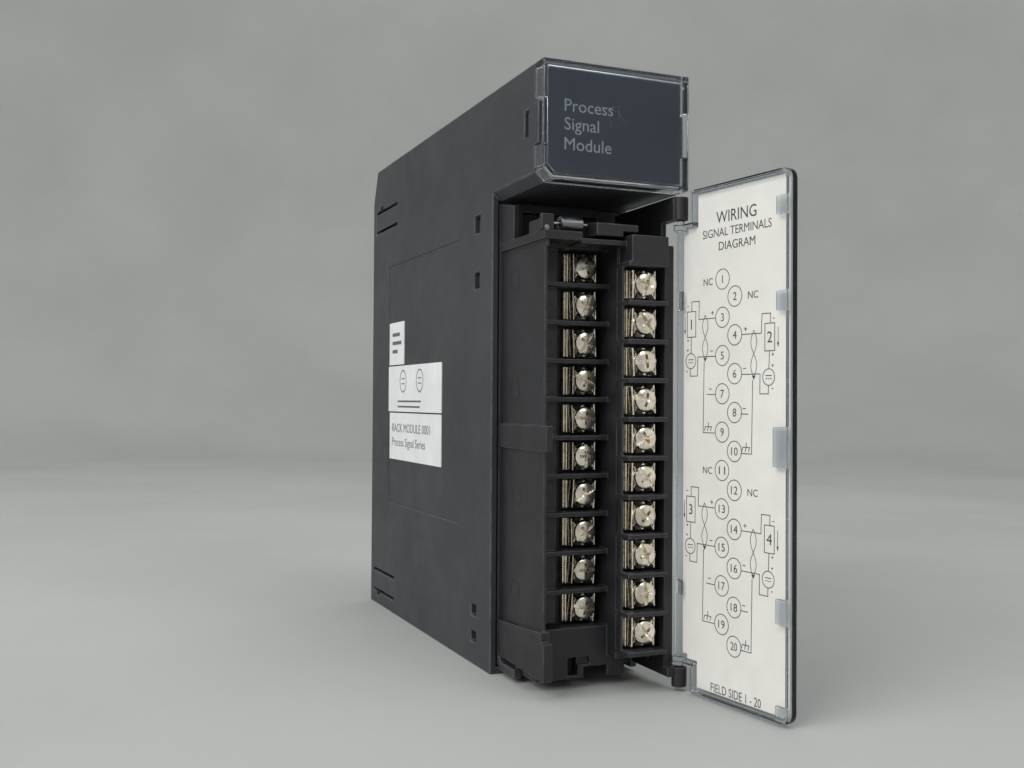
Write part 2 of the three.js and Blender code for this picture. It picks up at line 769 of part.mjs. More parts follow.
// The foot under the terminals: a deep pillar with a pocket, an open arch, and a thin pillar.
function foot() {
  const tip = ahead(LOW_TIER.ribFront);
  const pocket = box(
    FOOT_POCKET.left,
    FOOT_POCKET.right,
    ahead(LOW_TIER.ribFront - FOOT_POCKET.deep),
    ahead(LOW_TIER.ribFront + 1),
    FOOT_POCKET.low,
    FOOT_POCKET.high,
  );
  const step = box(
    FOOT_POCKET.right - 0.1,
    FOOT_STEP.right,
    ahead(LOW_TIER.ribFront - FOOT_STEP.deep),
    ahead(LOW_TIER.ribFront + 1),
    FOOT_STEP.low,
    FOOT_POCKET.high,
  );
  const pillars = join(
    box(WALL_IN + 0.1, FOOT.archLeft, ahead(11), tip, FOOT.low, BLOCK_BOTTOM + 1),
    box(FOOT.archRight, FOOT.right, ahead(FOOT.back), tip, FOOT.low, BLOCK_BOTTOM + 3),
  );
  return { pillars, hollow: join(pocket, step) };
}

function terminalBlockHousing() {
  const rearPocket = box(
    -SOCKET.x - GAP,
    SOCKET.x + GAP,
    ahead(SOCKET.back + GAP),
    ahead(0),
    SOCKET.low - GAP,
    SOCKET.high + GAP,
  );
  const { pillars, hollow } = foot();
  const leverLugs = LEVER_LUGS.map(([x0, x1]) =>
    box(x0, x1, LEVER.y - LUG_HALF, LEVER.y + LUG_HALF, BLOCK_TOP, LEVER.z + LEVER.pinR + 1),
  );
  const whole = join(
    leftSide(),
    deck(),
    doorPosts(),
    pillars,
    ...barriers(LOW_TIER, WALL_IN - 0.2, STEP_X + 0.2),
    ...barriers(HIGH_TIER, STEP_X, HIGH_END),
    ...leverLugs,
    ...HOOKS.map(([x0, x1]) => hookOver(x0, x1)),
  );
  return cut(
    whole,
    rearPocket,
    hollow,
    rod("X", ROLLER.pinR + GAP, TAB.left + 0.8, TAB.right + 1, ROLLER.y, ROLLER.z),
    rod("Z", DOOR_PIN_R + GAP, -1, HEIGHT, HINGE_X, ahead(HINGE_AHEAD), 20),
    rod("X", LEVER.pinR + GAP, -6, 6, LEVER.y, LEVER.z),
    rod("Y", RIVET.r + GAP, ahead(TAB.back), ahead(TAB.back - 1.5), RIVET.x, RIVET.z),
    ...screwHoles(LOW_TIER),
    ...screwHoles(HIGH_TIER),
  );
}

place(block, "terminal_block_housing", terminalBlockHousing(), BLOCK);

function blockSocket() {
  const body = box(-SOCKET.x, SOCKET.x, ahead(SOCKET.back), behind(SOCKET.rear), SOCKET.low, SOCKET.high);
  const grooveHalf = BLADE.halfThick + 0.5;
  const grooves = CONTACT_X.map((x) =>
    box(x - grooveHalf, x + grooveHalf, ahead(1.5), behind(SOCKET.rear + 1), SOCKET.low - 1, SOCKET.high + 1),
  );
  return cut(body, ...grooves);
}

place(block, "terminal_block_socket", blockSocket(), CONNECTOR);

const CONTACT = { left: 4.3, right: 3.1, half: 3.1, thick: 0.6 };
const CLAMP = { half: 3.3, flange: 0.6, low: 2, thick: 0.6, drop: 0.8 };
const SCREW = { headLow: 2.5, headHigh: 4.2, tip: -3, slotDepth: 0.7, slotHalf: 0.4 };

// One terminal: contact plate, clamp plate with turned-down edges, and slotted screw.
function terminal(tier, z) {
  const x = tier.screwX;
  const at = (d) => ahead(tier.deck + d);
  const contact = box(
    x - CONTACT.left,
    x + CONTACT.right,
    at(GAP),
    at(GAP + CONTACT.thick),
    z - CONTACT.half,
    z + CONTACT.half,
  );
  const clampHalf = CLAMP.half - GAP;
  const plate = box(
    x - CLAMP.half,
    x + CLAMP.half,
    at(CLAMP.low),
    at(CLAMP.low + CLAMP.thick),
    z - clampHalf,
    z + clampHalf,
  );
  const flanges = [-1, 1].map((side) =>
    box(
      x + side * CLAMP.half,
      x + side * (CLAMP.half - CLAMP.flange),
      at(CLAMP.low - CLAMP.drop),
      at(CLAMP.low + GAP),
      z - clampHalf + GAP,
      z + clampHalf - GAP,
    ),
  );
  const head = rod("Y", SCREW_HEAD_R, at(SCREW.headHigh), at(SCREW.headLow), x, z);
  const shank = rod("Y", SCREW_SHANK_R, at(SCREW.headLow + 0.1), at(SCREW.tip), x, z, 8);
  const slot = box(
    x - SCREW_HEAD_R - 0.5,
    x + SCREW_HEAD_R + 0.5,
    at(SCREW.headHigh - SCREW.slotDepth),
    at(SCREW.headHigh + 1),
    z - SCREW.slotHalf,
    z + SCREW.slotHalf,
  );
  return cut(join(contact, plate, ...flanges, shank, head), slot);
}

for (let i = 0; i < ROWS; i++) {
  for (const [column, tier] of [LOW_TIER, HIGH_TIER].entries()) {
    const number = String(2 * i + column + 1).padStart(2, "0");
    place(block, `terminal_${number}`, terminal(tier, rowZ(tier, i)), NICKEL);
  }
}

// ---- top of the terminal block -----------------------------------------------------------------
const ARM = { left: -3.5, right: 2.8, front: 24.6, low: 95.3 };
const ARM_TIP = { right: 6.4, near: 19, low: 96.4, high: 98 };

function jackingLever() {
  const arm = prism(
    [
      [ahead(ARM.front), ARM.low],
      [ahead(ARM.front), ARM_TIP.high],
      [ahead(13), 99.3],
      [ahead(8), 99.6],
      [ahead(5), 98.8],
      [ahead(5), 96.6],
      [ahead(12), ARM.low],
    ],
    "X",
    ARM.left,
    ARM.right,
  );
  const { right, near, low, high } = ARM_TIP;
  const tip = box(ARM.right - GAP, right, ahead(ARM.front), ahead(near), low, high);
  return cut(join(arm, tip), rod("X", LEVER.pinR + GAP, -6, 6, LEVER.y, LEVER.z));
}

place(block, "jacking_lever", jackingLever(), BLOCK);
place(block, "lever_pivot_pin", rod("X", LEVER.pinR, -5.2, 4.5, LEVER.y, LEVER.z, 20), STEEL);

function pullTab() {
  return cut(
    box(TAB.left, TAB.right, ahead(TAB.front), ahead(TAB.back), SHELF[1] + GAP, TAB.top),
    rod("Y", RIVET.r + GAP, ahead(TAB.front + 1), ahead(TAB.back - 1), RIVET.x, RIVET.z),
  );
}

function rivet() {
  const tip = ahead(TAB.back - 1.2);
  return join(
    rod("Y", RIVET.r, ahead(TAB.front + 0.1), tip, RIVET.x, RIVET.z),
    rod("Y", RIVET.headR, ahead(TAB.front + 0.4), ahead(TAB.front + 0.05), RIVET.x, RIVET.z, 20),
  );
}

const ROLLER_SPAN = [-10.2, -5.3];

place(block, "pull_tab", pullTab(), BLOCK);
place(block, "pull_tab_rivet", rivet(), STEEL);
place(block, "roller_pin", rod("X", ROLLER.pinR, TAB.left + 1, ARM.left - GAP, ROLLER.y, ROLLER.z), STEEL);
place(
  block,
  "latch_roller",
  cut(
    rod("X", ROLLER.r, ROLLER_SPAN[0], ROLLER_SPAN[1], ROLLER.y, ROLLER.z, 24),
    rod("X", ROLLER.pinR + GAP, ROLLER_SPAN[0] - 1, ROLLER_SPAN[1] + 1, ROLLER.y, ROLLER.z),
  ),
  STEEL,
);

// ---- terminal door (drawn closed about its hinge axis, then turned open by its group) --------------
const DOOR_CORNER = 2.2;
const DOOR_CLIPS = [
  [96.4, 100],
  [78.2, 82],
  [19.1, 23.9],
  [1, 3.9],
];
const DOOR_PULL = { long: 3.8, low: 48.5, high: 56.2 };
const HINGE_CLIPS = [
  [80.1, 84.3],
  [20.2, 23.3],
];
const KNUCKLE = { r: 1.5, long: 1.4, lowPin: 3, highPin: 3.4 };

// Door outline, moved inwards by `inset`, with rounded corners on the free side.
function doorOutline(inset) {
  const right = DOOR.hingeSide - inset;
  const left = DOOR.freeSide + inset;
  const low = DOOR.bottom + inset;
  const high = DOOR.top - inset;
  const notchX = DOOR_NOTCH.x - inset;
  const r = Math.max(DOOR_CORNER - inset, 0.4);
  const points = [
    [notchX, low],
    [notchX, DOOR_NOTCH.low + inset],
    [right, DOOR_NOTCH.low + inset],
    [right, DOOR_NOTCH.high - inset],
    [notchX, DOOR_NOTCH.high - inset],
    [notchX, high],
  ];
  const steps = 4;
  for (const [cx, cz, start] of [
    [left + r, high - r, Math.PI / 2],
    [left + r, low + r, Math.PI],
  ]) {
    for (let i = 0; i <= steps; i++) {
      const a = start + (i / steps) * (Math.PI / 2);
      points.push([cx + r * Math.cos(a), cz + r * Math.sin(a)]);
    }
  }
  return points;
}

function knuckle(z0, z1, pinEnd) {
  return join(
    rod("Z", KNUCKLE.r, z0, z1, 0, 0, 24),
    rod("Z", DOOR_PIN_R, Math.min(z0 + 0.2, pinEnd), Math.max(z1 - 0.2, pinEnd), 0, 0, 20),
  );
}

function doorCover() {
  const tray = cut(
    prism(doorOutline(0), "Y", DOOR.outer, DOOR.inner),
    prism(doorOutline(DOOR_PLATE), "Y", DOOR.outer + DOOR_PLATE, DOOR.inner + 1),
  );
  const free = DOOR.freeSide + DOOR_PLATE / 2;
  const hinged = DOOR.hingeSide - DOOR_PLATE / 2;
  const clips = DOOR_CLIPS.map(([z0, z1]) => box(free, free + 3, -GAP, DOOR.inner, z0, z1));
  const pull = box(free, free + DOOR_PULL.long, -GAP, DOOR.inner, DOOR_PULL.low, DOOR_PULL.high);
  const hingeClips = HINGE_CLIPS.map(([z0, z1]) => box(hinged - 1.6, hinged, -GAP, DOOR.inner, z0, z1));
  const { low, high } = DOOR_NOTCH;
  return join(
    tray,
    ...clips,
    pull,
    ...hingeClips,
    knuckle(low, low + KNUCKLE.long, low - KNUCKLE.lowPin),
    knuckle(high - KNUCKLE.long, high, high + KNUCKLE.highPin),
  );
}

place(door, "door_cover", doorCover(), CLEAR);

function doorLabel() {
  const y0 = DOOR.outer + DOOR_PLATE + 0.05;
  const sheet = prism(doorOutline(DOOR_PLATE + GAP), "Y", y0, y0 + 0.2);
  const r = KNUCKLE.r + GAP;
  const pinRelief = [DOOR_NOTCH.low, DOOR_NOTCH.high].map((z) => rod("Z", r, z - 2, z + 2, 0, 0, 20));
  return cut(sheet, ...pinRelief);
}

place(door, "door_label", doorLabel(), PAPER);

export default module;
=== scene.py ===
import json
import math
import random
from collections import Counter

import bmesh
import bpy
from mathutils import Matrix, Vector


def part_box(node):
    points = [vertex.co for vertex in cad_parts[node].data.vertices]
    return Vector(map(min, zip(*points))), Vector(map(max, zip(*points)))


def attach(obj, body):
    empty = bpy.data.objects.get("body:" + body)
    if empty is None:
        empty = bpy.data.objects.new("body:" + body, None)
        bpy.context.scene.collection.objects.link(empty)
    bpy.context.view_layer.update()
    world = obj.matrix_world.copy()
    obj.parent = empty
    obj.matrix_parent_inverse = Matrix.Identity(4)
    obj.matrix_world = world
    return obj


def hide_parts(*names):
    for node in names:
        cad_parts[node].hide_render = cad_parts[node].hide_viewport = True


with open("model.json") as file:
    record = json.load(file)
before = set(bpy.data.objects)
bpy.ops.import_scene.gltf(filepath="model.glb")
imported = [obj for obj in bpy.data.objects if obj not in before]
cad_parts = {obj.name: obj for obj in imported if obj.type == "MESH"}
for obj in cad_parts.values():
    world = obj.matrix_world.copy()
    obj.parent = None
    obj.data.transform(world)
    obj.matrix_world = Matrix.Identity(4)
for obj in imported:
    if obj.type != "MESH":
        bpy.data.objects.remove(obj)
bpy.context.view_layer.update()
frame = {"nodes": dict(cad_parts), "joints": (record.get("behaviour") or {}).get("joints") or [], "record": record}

MM = 0.001
scene = bpy.context.scene
nodes = frame["nodes"]
joints = {joint["name"]: joint for joint in frame["joints"]}
bodies = frame["record"]["behaviour"]["bodies"]
body_of = {node: body for body, members in bodies.items() for node in members}
slot_of = {part["node"]: part["material_slot"] for part in frame["record"]["subparts"]}


# ---- camera -------------------------------------------------------------------------------------
CAMERA_AT = Vector((-106.38, -271.39, 60.81)) * MM
CAMERA_YAW, CAMERA_PITCH, CAMERA_ROLL = 22.98, 0.90, 0.36

lens = bpy.data.cameras.new("camera")
lens.lens = 37.82
lens.sensor_width = 36
lens.clip_start = 0.01
camera = bpy.data.objects.new("camera", lens)
scene.collection.objects.link(camera)
camera.matrix_world = (
    Matrix.Translation(CAMERA_AT)
    @ Matrix.Rotation(math.radians(-CAMERA_YAW), 4, "Z")
    @ Matrix.Rotation(math.radians(90 + CAMERA_PITCH), 4, "X")
    @ Matrix.Rotation(math.radians(CAMERA_ROLL), 4, "Z")
)
scene.camera = camera
scene.view_settings.view_transform = "Standard"


# ---- material graphs ----------------------------------------------------------------------------
def srgb(*levels):
    """Linear colour of 0-255 display levels."""
    out = []
    for level in levels:
        c = level / 255
        out.append(c / 12.92 if c <= 0.04045 else ((c + 0.055) / 1.055) ** 2.4)
    return (*out, 1.0)


class Graph:
    """Builds one procedural material; textures use the object's own metres."""

    def __init__(self, name):
        self.material = bpy.data.materials.new(name)
        self.material.use_nodes = True
        self.tree = self.material.node_tree
        self.shader = self.tree.nodes["Principled BSDF"]
        self.place = self.node("ShaderNodeTexCoord").outputs["Object"]

    def node(self, kind, inputs=None, **settings):
        made = self.tree.nodes.new(kind)
        for key, value in settings.items():
            setattr(made, key, value)
        for key, value in (inputs or {}).items():
            self.feed(made.inputs[key], value)
        return made

    def feed(self, socket, value):
        if isinstance(value, bpy.types.NodeSocket):
            self.tree.links.new(value, socket)
        else:
            socket.default_value = value

    def stretched(self, x, y, z):
        return self.node("ShaderNodeMapping", {"Vector": self.place, "Scale": (x, y, z)}).outputs[0]

    def spread(self):
        """Coordinates that differ between copies of one mesh."""
        pick = self.node("ShaderNodeObjectInfo").outputs["Random"]
        far = self.math("MULTIPLY", pick, 3.0)
        return self.node("ShaderNodeVectorMath", {0: self.place, 1: far}, operation="ADD").outputs[0]

    def noise(self, scale, detail=3.0, at=None):
        inputs = {"Vector": at or self.place, "Scale": scale, "Detail": detail}
        return self.node("ShaderNodeTexNoise", inputs).outputs[0]

    def cells(self, scale, feature="F1", at=None):
        inputs = {"Vector": at or self.place, "Scale": scale}
        return self.node("ShaderNodeTexVoronoi", inputs, feature=feature).outputs["Distance"]

    def math(self, operation, a, b=0.0):
        return self.node("ShaderNodeMath", {0: a, 1: b}, operation=operation).outputs[0]

    def fit(self, value, low, high, to_low, to_high):
        inputs = {
            "Value": value,
            "From Min": low,
            "From Max": high,
            "To Min": to_low,
            "To Max": to_high,
        }
        return self.node("ShaderNodeMapRange", inputs).outputs[0]

    def blend(self, share, first, second):
        made = self.node("ShaderNodeMix", data_type="RGBA")
        self.feed(made.inputs[0], share)
        self.feed(made.inputs[6], first)
        self.feed(made.inputs[7], second)
        return made.outputs[2]

    def edge(self):
        return self.node("ShaderNodeAttribute", attribute_name="edge").outputs["Fac"]

    def bump(self, height, strength, depth_mm, under=None):
        inputs = {"Height": height, "Strength": strength, "Distance": depth_mm * MM}
        if under is not None:
            inputs["Normal"] = under
        return self.node("ShaderNodeBump", inputs).outputs[0]

    def finish(self, **values):
        for key, value in values.items():
            self.feed(self.shader.inputs[key.replace("_", " ")], value)
        return self.material


def moulded(name, dark, light, wear_and_highlight, rough, grain_mm, grain, specular=0.5):
    """Moulded plastic: spark-eroded grain, slow tone changes, rounded edges lightened partly as rubbed wear and
    partly as a painted edge highlight, faint scratches.
    """
    g = Graph(name)
    slow = g.fit(g.noise(24, 3), 0.35, 0.65, 0, 1)
    fine = g.fit(g.noise(420, 4), 0.3, 0.7, 0, 1)
    tone = g.blend(slow, dark, light)
    tone = g.blend(g.math("MULTIPLY", fine, 0.28), tone, light)
    lines = g.cells(85, "DISTANCE_TO_EDGE", g.stretched(1, 1.4, 2.6))
    scratch = g.fit(lines, 0.0, 0.006, 1, 0)
    patch = g.fit(g.noise(60, 2), 0.52, 0.66, 0, 1)
    scratch = g.math("MULTIPLY", scratch, patch)
    # Rounded edges lighten towards the wear tone: partly rubbed wear, partly a painted edge highlight.
    rub_and_highlight = g.fit(g.noise(330, 3), 0.35, 0.62, 0.25, 1)
    rub_and_highlight = g.math("MULTIPLY", rub_and_highlight, g.edge())
    tone = g.blend(g.math("MULTIPLY", rub_and_highlight, 0.45), tone, wear_and_highlight)
    tone = g.blend(g.math("MULTIPLY", scratch, 0.22), tone, wear_and_highlight)
    shine = g.fit(g.noise(150, 4), 0.3, 0.7, rough - 0.06, rough + 0.08)
    shine = g.math("SUBTRACT", shine, g.math("MULTIPLY", rub_and_highlight, 0.12))
    grains = g.noise(1000 / grain_mm, 2)
    normal = g.bump(grains, grain, 0.06)
    normal = g.bump(slow, 0.12, 0.25, normal)
    normal = g.bump(scratch, -0.08, 0.03, normal)
    return g.finish(Base_Color=tone, Roughness=shine, Normal=normal, Specular_IOR_Level=specular)


def clear(name, tint, haze):
    """Clear moulded plastic with fine scuffs and a slight ripple."""
    g = Graph(name)
    lines = g.cells(130, "DISTANCE_TO_EDGE", g.stretched(1, 1.3, 2.2))
    scuff = g.fit(lines, 0.0, 0.01, 1, 0)
    scuff = g.math("MULTIPLY", scuff, g.fit(g.noise(90, 2), 0.5, 0.62, 0, 1))
    cloud = g.fit(g.noise(70, 4), 0.4, 0.75, haze, haze + 0.05)
    rough = g.math("ADD", cloud, g.math("MULTIPLY", scuff, 0.25))
    rough = g.math("ADD", rough, g.math("MULTIPLY", g.edge(), 0.04))
    tone = g.blend(g.fit(g.noise(40, 2), 0.3, 0.7, 0, 1), tint, srgb(236, 240, 243))
    normal = g.bump(g.noise(45, 2), 0.05, 0.2)
    normal = g.bump(scuff, 0.1, 0.02, normal)
    made = g.finish(Base_Color=tone, Roughness=rough, Normal=normal)
    g.shader.inputs["IOR"].default_value = 1.49
    g.shader.inputs["Transmission Weight"].default_value = 1.0
    return made


def plated(name, bright, dull, rough, per_copy=False):
    """Plated metal: cloudy polish, tool marks, tarnish in patches."""
    g = Graph(name)
    at = g.spread() if per_copy else g.place
    cloud = g.fit(g.noise(520, 4, at), 0.35, 0.68, 0, 1)
    tone = g.blend(cloud, bright, dull)
    tarnish = g.fit(g.noise(190, 3, at), 0.58, 0.74, 0, 0.3)
    tone = g.blend(tarnish, tone, srgb(128, 112, 90))
    shine = g.fit(g.noise(800, 3, at), 0.3, 0.7, rough - 0.06, rough + 0.14)
    marks = g.noise(1500, 3, at)
    normal = g.bump(marks, 0.16, 0.03)
    normal = g.bump(g.noise(420, 2, at), 0.25, 0.08, normal)
    made = g.finish(Base_Color=tone, Roughness=shine, Normal=normal)
    g.shader.inputs["Metallic"].default_value = 1.0
    return made


def paper(name, tone, shade, sheen=0.45):
    """Printed label stock: faint mottling and fibres under a satin film."""
    g = Graph(name)
    mottle = g.fit(g.noise(160, 4), 0.3, 0.7, 0, 1)
    soil = g.fit(g.noise(35, 3), 0.45, 0.75, 0, 0.6)
    colour = g.blend(mottle, tone, shade)
    colour = g.blend(soil, colour, shade)
    shine = g.fit(g.noise(240, 2), 0.3, 0.7, sheen - 0.05, sheen + 0.1)
    normal = g.bump(g.noise(1400, 3), 0.12, 0.03)
    normal = g.bump(g.noise(22, 2), 0.15, 0.3, normal)
    return g.finish(Base_Color=colour, Roughness=shine, Normal=normal)


def ink(name, tone, thin):
    """Screen-printed ink with slightly uneven cover."""
    g = Graph(name)
    cover = g.fit(g.noise(2600, 3), 0.35, 0.75, 0, 0.7)
    colour = g.blend(cover, tone, thin)
    normal = g.bump(g.noise(3000, 2), 0.2, 0.01)
    shine = g.fit(g.noise(900, 2), 0.3, 0.7, 0.42, 0.6)
    return g.finish(Base_Color=colour, Roughness=shine, Normal=normal)


def laminate(name):
    """Green solder mask over copper tracks."""
    g = Graph(name)
    tracks = g.cells(330, "DISTANCE_TO_EDGE", g.stretched(1, 1, 0.35))
    track = g.fit(tracks, 0.05, 0.07, 1, 0)
    weave = g.noise(1700, 2)
    tone = g.blend(track, srgb(16, 58, 34), srgb(38, 96, 52))
    tone = g.blend(g.fit(weave, 0.3, 0.7, 0, 0.3), tone, srgb(10, 40, 26))
    normal = g.bump(track, 0.5, 0.04)
    shine = g.fit(weave, 0.3, 0.7, 0.28, 0.4)
    return g.finish(Base_Color=tone, Roughness=shine, Normal=g.bump(weave, 0.1, 0.02, normal))


# Plastics: dark and light tone, tone of worn edges and scratches (on the rounded edges partly a painted edge
# highlight), roughness, grain size in mm, grain strength and, for some, how strongly the surface reflects.
PLASTICS = {
    "case_plastic": ((54, 54, 58), (64, 65, 69), (100, 101, 106), 0.55, 0.33, 0.34, 0.35),
    "block_plastic": ((28, 27, 31), (39, 38, 42), (84, 84, 88), 0.47, 0.45, 0.22, 0.45),
    "connector_plastic": ((20, 20, 22), (32, 32, 34), (70, 70, 72), 0.5, 0.4, 0.2),
    "insert_plastic": ((58, 64, 80), (70, 77, 94), (96, 104, 122), 0.5, 0.2, 0.04, 0.3),
    "chip_plastic": ((26, 26, 27), (40, 40, 41), (80, 80, 80), 0.62, 0.3, 0.3),
    "ferrite": ((44, 41, 40), (66, 61, 58), (104, 98, 92), 0.7, 0.6, 0.5),
    "led_plastic": ((150, 34, 26), (182, 52, 38), (214, 110, 96), 0.3, 0.8, 0.05),
}
MATERIALS = {
    "clear_plastic": clear("clear_plastic", srgb(224, 231, 238), 0.02),
    "board": laminate("board"),
    "can_aluminium": plated("can_aluminium", srgb(205, 207, 210), srgb(168, 170, 173), 0.3),
    "side_label": paper("side_label", srgb(236, 237, 236), srgb(222, 224, 224)),
    "door_label": paper("door_label", srgb(238, 236, 231), srgb(228, 226, 220)),
    "terminal_nickel": plated("terminal_nickel", srgb(250, 243, 230), srgb(222, 212, 194), 0.2, True),
    "pin_steel": plated("pin_steel", srgb(170, 172, 174), srgb(120, 121, 123), 0.3),
}
for slot, (dark, light, wear_and_highlight, *finish) in PLASTICS.items():
    MATERIALS[slot] = moulded(slot, srgb(*dark), srgb(*light), srgb(*wear_and_highlight), *finish)
ROLLER_STEEL = plated("roller_steel", srgb(140, 140, 144), srgb(112, 112, 117), 0.34)
PRINT_BLACK = ink("print_black", srgb(46, 46, 52), srgb(86, 86, 90))
PRINT_DARK = ink("print_dark", srgb(84, 85, 90), srgb(120, 121, 126))
PRINT_LIGHT = ink("print_light", srgb(206, 209, 216), srgb(180, 184, 194))


# ---- pieces -------------------------------------------------------------------------------------
def piece(name, mesh, material, body, place=None, stands_for=()):
    """A new object that moves with a body and carries the given material."""
    made = bpy.data.objects.new(name, mesh)
    scene.collection.objects.link(made)
    if not mesh.materials:
        mesh.materials.append(material)
    if place is not None:
        made.matrix_world = place
    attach(made, body)
    if stands_for:
        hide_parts(*stands_for)


def evaluated(source):
    """The mesh of an object with its modifiers applied."""
    graph = bpy.context.evaluated_depsgraph_get()
    graph.update()
    return bpy.data.meshes.new_from_object(source.evaluated_get(graph), depsgraph=graph)


def modified(mesh, kind, **settings):
    """The result of one modifier on a mesh."""
    holder = bpy.data.objects.new("holder", mesh)
    scene.collection.objects.link(holder)
    modifier = holder.modifiers.new("step", kind)
    for key, value in settings.items():
        setattr(modifier, key, value)
    made = evaluated(holder)
    bpy.data.objects.remove(holder)
    return made


SHARP = math.radians(28)  # edges that bend more than this are rounded
COPLANAR = math.radians(0.6)
WELD = 1e-6
LEVEL = 3e-6  # how far a corner may lie off a flat region, in metres
SLIVER = 1e-9  # area below which a face starts no region, in square metres
ROOM_SHARE = 0.42  # part of the clear width beside an edge that its rounding may take


def rounded(mesh, name, width_mm, weights=True, segments=2):
    """A copy of a mesh with small radii on its edges, marked by the attribute "edge"."""
    mesh.materials.clear()
    mesh.materials.append(None)
    mesh.materials.append(None)
    made = modified(
        mesh,
        "BEVEL",
        limit_method="WEIGHT" if weights else "ANGLE",
        angle_limit=SHARP,
        width=width_mm * MM,
        segments=segments,
        use_clamp_overlap=not weights,
        material=1,
    )
    bm = bmesh.new()
    bm.from_mesh(made)
    bmesh.ops.remove_doubles(bm, verts=bm.verts, dist=WELD)
    bmesh.ops.dissolve_degenerate(bm, edges=bm.edges, dist=WELD)
    layer = bm.faces.layers.float.new("edge")
    for face in bm.faces:
        face[layer] = float(face.material_index == 1)
        face.material_index = 0
        face.smooth = True
    refill(bm, layer)
    bm.normal_update()
    normals = []
    for face in bm.faces:
        normals += [corner_normal(face, corner.vert, layer) for corner in face.loops]
    bm.to_mesh(made)
    bm.free()
    made.materials.clear()
    made.normals_split_custom_set(normals)
    made.name = name
    return made


def refill(bm, layer):
    """Fills each flat region again from its outline, because rounding can fold the faces inside it."""
    bm.normal_update()
    flat = sorted((face for face in bm.faces if face[layer] < 0.5), key=lambda face: -face.calc_area())
    done = set()
    regions = []
    for seed in flat:
        if seed in done or seed.calc_area() < SLIVER:
            continue
        normal = seed.normal.copy()
        origin = seed.verts[0].co.copy()
        done.add(seed)
        region = [seed]
        for face in region:
            for edge in face.edges:
                for other in edge.link_faces:
                    level = all(abs(normal.dot(vert.co - origin)) < LEVEL for vert in other.verts)
                    if level and other not in done and other[layer] < 0.5:
                        done.add(other)
                        region.append(other)
        if len(region) > 1 or len(seed.verts) > 4:
            regions.append((region, normal))
    for region, normal in regions:
        uses = Counter(edge for face in region for edge in face.edges)
        border = [edge for edge, count in uses.items() if count == 1]
        inner = [edge for edge, count in uses.items() if count > 1]
        bmesh.ops.delete(bm, geom=region, context="FACES_ONLY")
        bmesh.ops.delete(bm, geom=[edge for edge in inner if edge.is_valid], context="EDGES_FACES")
        filled = bmesh.ops.triangle_fill(bm, edges=border, use_beauty=True, normal=normal)["geom"]
        for face in filled:
            if not isinstance(face, bmesh.types.BMFace):
                continue
            face.normal_update()
            if face.normal.dot(normal) < 0:
                face.normal_flip()
            face[layer] = 0.0
            face.smooth = True


def corner_normal(face, vert, layer):
    """Shading normal: flat faces stay flat, and the strips between them blend from one to the next."""
    flat = [other for other in vert.link_faces if other[layer] < 0.5]
    near = [other for other in flat if other.normal.dot(face.normal) > 0.64]
    if face[layer] > 0.5 and not near:
        near = [other for other in vert.link_faces if other.normal.dot(face.normal) > 0.5]
    total = sum((other.normal * other.calc_area() for other in near), Vector())
    return total.normalized() if total.length > 0 else face.normal.copy()


def clearances(bm):
    """How far each edge is from the nearest corner of its own faces that it does not run into."""
    room = {edge: edge.calc_length() * 1.2 for edge in bm.edges}
    for face in bm.faces:
        for edge in face.edges:
            start, end = (vert.co for vert in edge.verts)
            span = end - start
            for corner in face.loops:
                vert = corner.vert
                if vert in edge.verts:
                    continue
                along = max(0.0, min(1.0, (vert.co - start).dot(span) / span.length_squared))
                away = vert.co - (start + span * along)
                beside = edge in (corner.link_loop_next.edge, corner.link_loop_prev.link_loop_prev.edge)
                if beside and away.length > 0 and abs(away.normalized().dot(span.normalized())) > 0.8:
                    continue
                for limited in (edge, corner.edge, corner.link_loop_prev.edge):
                    room[limited] = min(room[limited], away.length)
    return room


def refine(node, width_mm, material=None):
    """Stands a piece with rounded edges in for a CAD node."""
    mesh = nodes[node].data.copy()
    bm = bmesh.new()
    bm.from_mesh(mesh)
    bmesh.ops.remove_doubles(bm, verts=bm.verts, dist=2 * WELD)
    bmesh.ops.dissolve_limit(bm, angle_limit=COPLANAR, verts=bm.verts, edges=bm.edges)
    layers = bm.edges.layers.float
    layer = layers.get("bevel_weight_edge") or layers.new("bevel_weight_edge")
    room = clearances(bm)
    for edge in bm.edges:
        if len(edge.link_faces) == 2 and edge.calc_face_angle(0) > SHARP:
            edge[layer] = max(0.0, min(1.0, ROOM_SHARE * room[edge] / (width_mm * MM)))
    for face in bm.faces:
        face.smooth = True
    bm.to_mesh(mesh)
    bm.free()
    name = node + "_shell"
    slot = slot_of[node]
    made = rounded(mesh, name, width_mm)
    piece(name, made, material or MATERIALS[slot], body_of[node], None, [node])


def build(name, fill):
    """A mesh made by fill(bm), with its faces turned outward."""
    mesh = bpy.data.meshes.new(name)
    bm = bmesh.new()
    fill(bm)
    bmesh.ops.recalc_face_normals(bm, faces=bm.faces)
    bm.to_mesh(mesh)
    bm.free()
    return mesh


def add_prism(bm, outline, low, high, turn):
    """A closed prism over a 2-D outline; turn(u, v, w) gives the point for each corner."""
    bottom = [bm.verts.new(turn(u, v, low)) for u, v in outline]
    top = [bm.verts.new(turn(u, v, high)) for u, v in outline]
    bm.faces.new(bottom)
    bm.faces.new(list(reversed(top)))
    count = len(outline)
    for i in range(count):
        j = (i + 1) % count
        bm.faces.new([bottom[i], top[i], top[j], bottom[j]])


